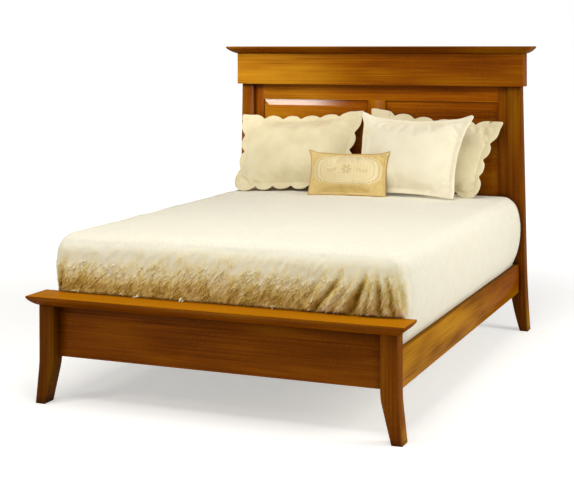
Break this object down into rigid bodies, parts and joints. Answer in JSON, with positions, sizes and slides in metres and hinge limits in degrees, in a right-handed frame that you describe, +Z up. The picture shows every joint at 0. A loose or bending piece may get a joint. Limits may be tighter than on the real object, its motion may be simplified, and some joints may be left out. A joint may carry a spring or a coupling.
{
  "type": "panel bed",
  "caption": "Queen panel bed of amber-brown oak: raised-panel headboard under a frieze and crown, low footboard with a shelf cap, flared legs, rails, slats, bedding and pillows",
  "frame": {"origin": "on the floor, midway between the left and right posts and midway along the bed's whole length", "axes": "+X to the right for someone who stands at the foot and looks at the headboard, +Y from the foot to the head, +Z up"},
  "size_m": [1.76, 2.252, 1.515],
  "materials": {
    "amber_oak": "satin lacquer over an amber-brown stain, quarter-sawn grain",
    "plain_poplar": "plain sanded wood",
    "zinc_steel": "zinc plated",
    "insert_brass": "plain brass",
    "ticking": "woven ticking",
    "spread_plush": "soft cream plush pile",
    "sham_cotton": "matt cream cotton with scalloped edges",
    "pillow_cotton": "matt cream cotton with a plain flange",
    "lumbar_gold": "gold ground with a cream oval, no lettering"
  },
  "bodies": {
    "bed": {"bedspread": "spread_plush", "box_spring": "ticking", "centre_leg_1": "plain_poplar", "centre_leg_2": "plain_poplar", "centre_leg_3": "plain_poplar", "foot_cap": "amber_oak", "foot_left_hook_plate": "zinc_steel", "foot_left_slot_plate": "zinc_steel", "foot_panel": "amber_oak", "foot_post_left": "amber_oak", "foot_post_right": "amber_oak", "foot_right_hook_plate": "zinc_steel", "foot_right_slot_plate": "zinc_steel", "frieze_backer": "amber_oak", "frieze_return_left": "amber_oak", "frieze_return_right": "amber_oak", "front_pillow": "pillow_cotton", "head_bottom_rail": "amber_oak", "head_centre_stile": "amber_oak", "head_crown": "amber_oak", "head_frieze": "amber_oak", "head_left_hook_plate": "zinc_steel", "head_left_slot_plate": "zinc_steel", "head_panel_left": "amber_oak", "head_panel_right": "amber_oak", "head_post_left": "amber_oak", "head_post_right": "amber_oak", "head_right_hook_plate": "zinc_steel", "head_right_slot_plate": "zinc_steel", "head_stile_left": "amber_oak", "head_stile_right": "amber_oak", "head_top_rail": "amber_oak", "leg_bolts": "zinc_steel", "leg_inserts": "insert_brass", "lumbar_pillow": "lumbar_gold", "mattress": "ticking", "rail_ledger_left": "plain_poplar", "rail_ledger_right": "plain_poplar", "sham_left": "sham_cotton", "sham_right": "sham_cotton", "side_rail_left": "amber_oak", "side_rail_right": "amber_oak", "slat_1": "plain_poplar", "slat_2": "plain_poplar", "slat_3": "plain_poplar", "slat_4": "plain_poplar", "slat_5": "plain_poplar", "slat_6": "plain_poplar", "slat_7": "plain_poplar"},
    "leveller_1": {"leveller_1": "zinc_steel"},
    "leveller_2": {"leveller_2": "zinc_steel"},
    "leveller_3": {"leveller_3": "zinc_steel"}
  },
  "joints": [
    {"name": "leveller_1_slide", "type": "slide", "parent": "bed", "child": "leveller_1", "axis": [0, 0, 1], "range_m": [0, 0.012]},
    {"name": "leveller_2_slide", "type": "slide", "parent": "bed", "child": "leveller_2", "axis": [0, 0, 1], "range_m": [0, 0.012]},
    {"name": "leveller_3_slide", "type": "slide", "parent": "bed", "child": "leveller_3", "axis": [0, 0, 1], "range_m": [0, 0.012]}
  ]
}
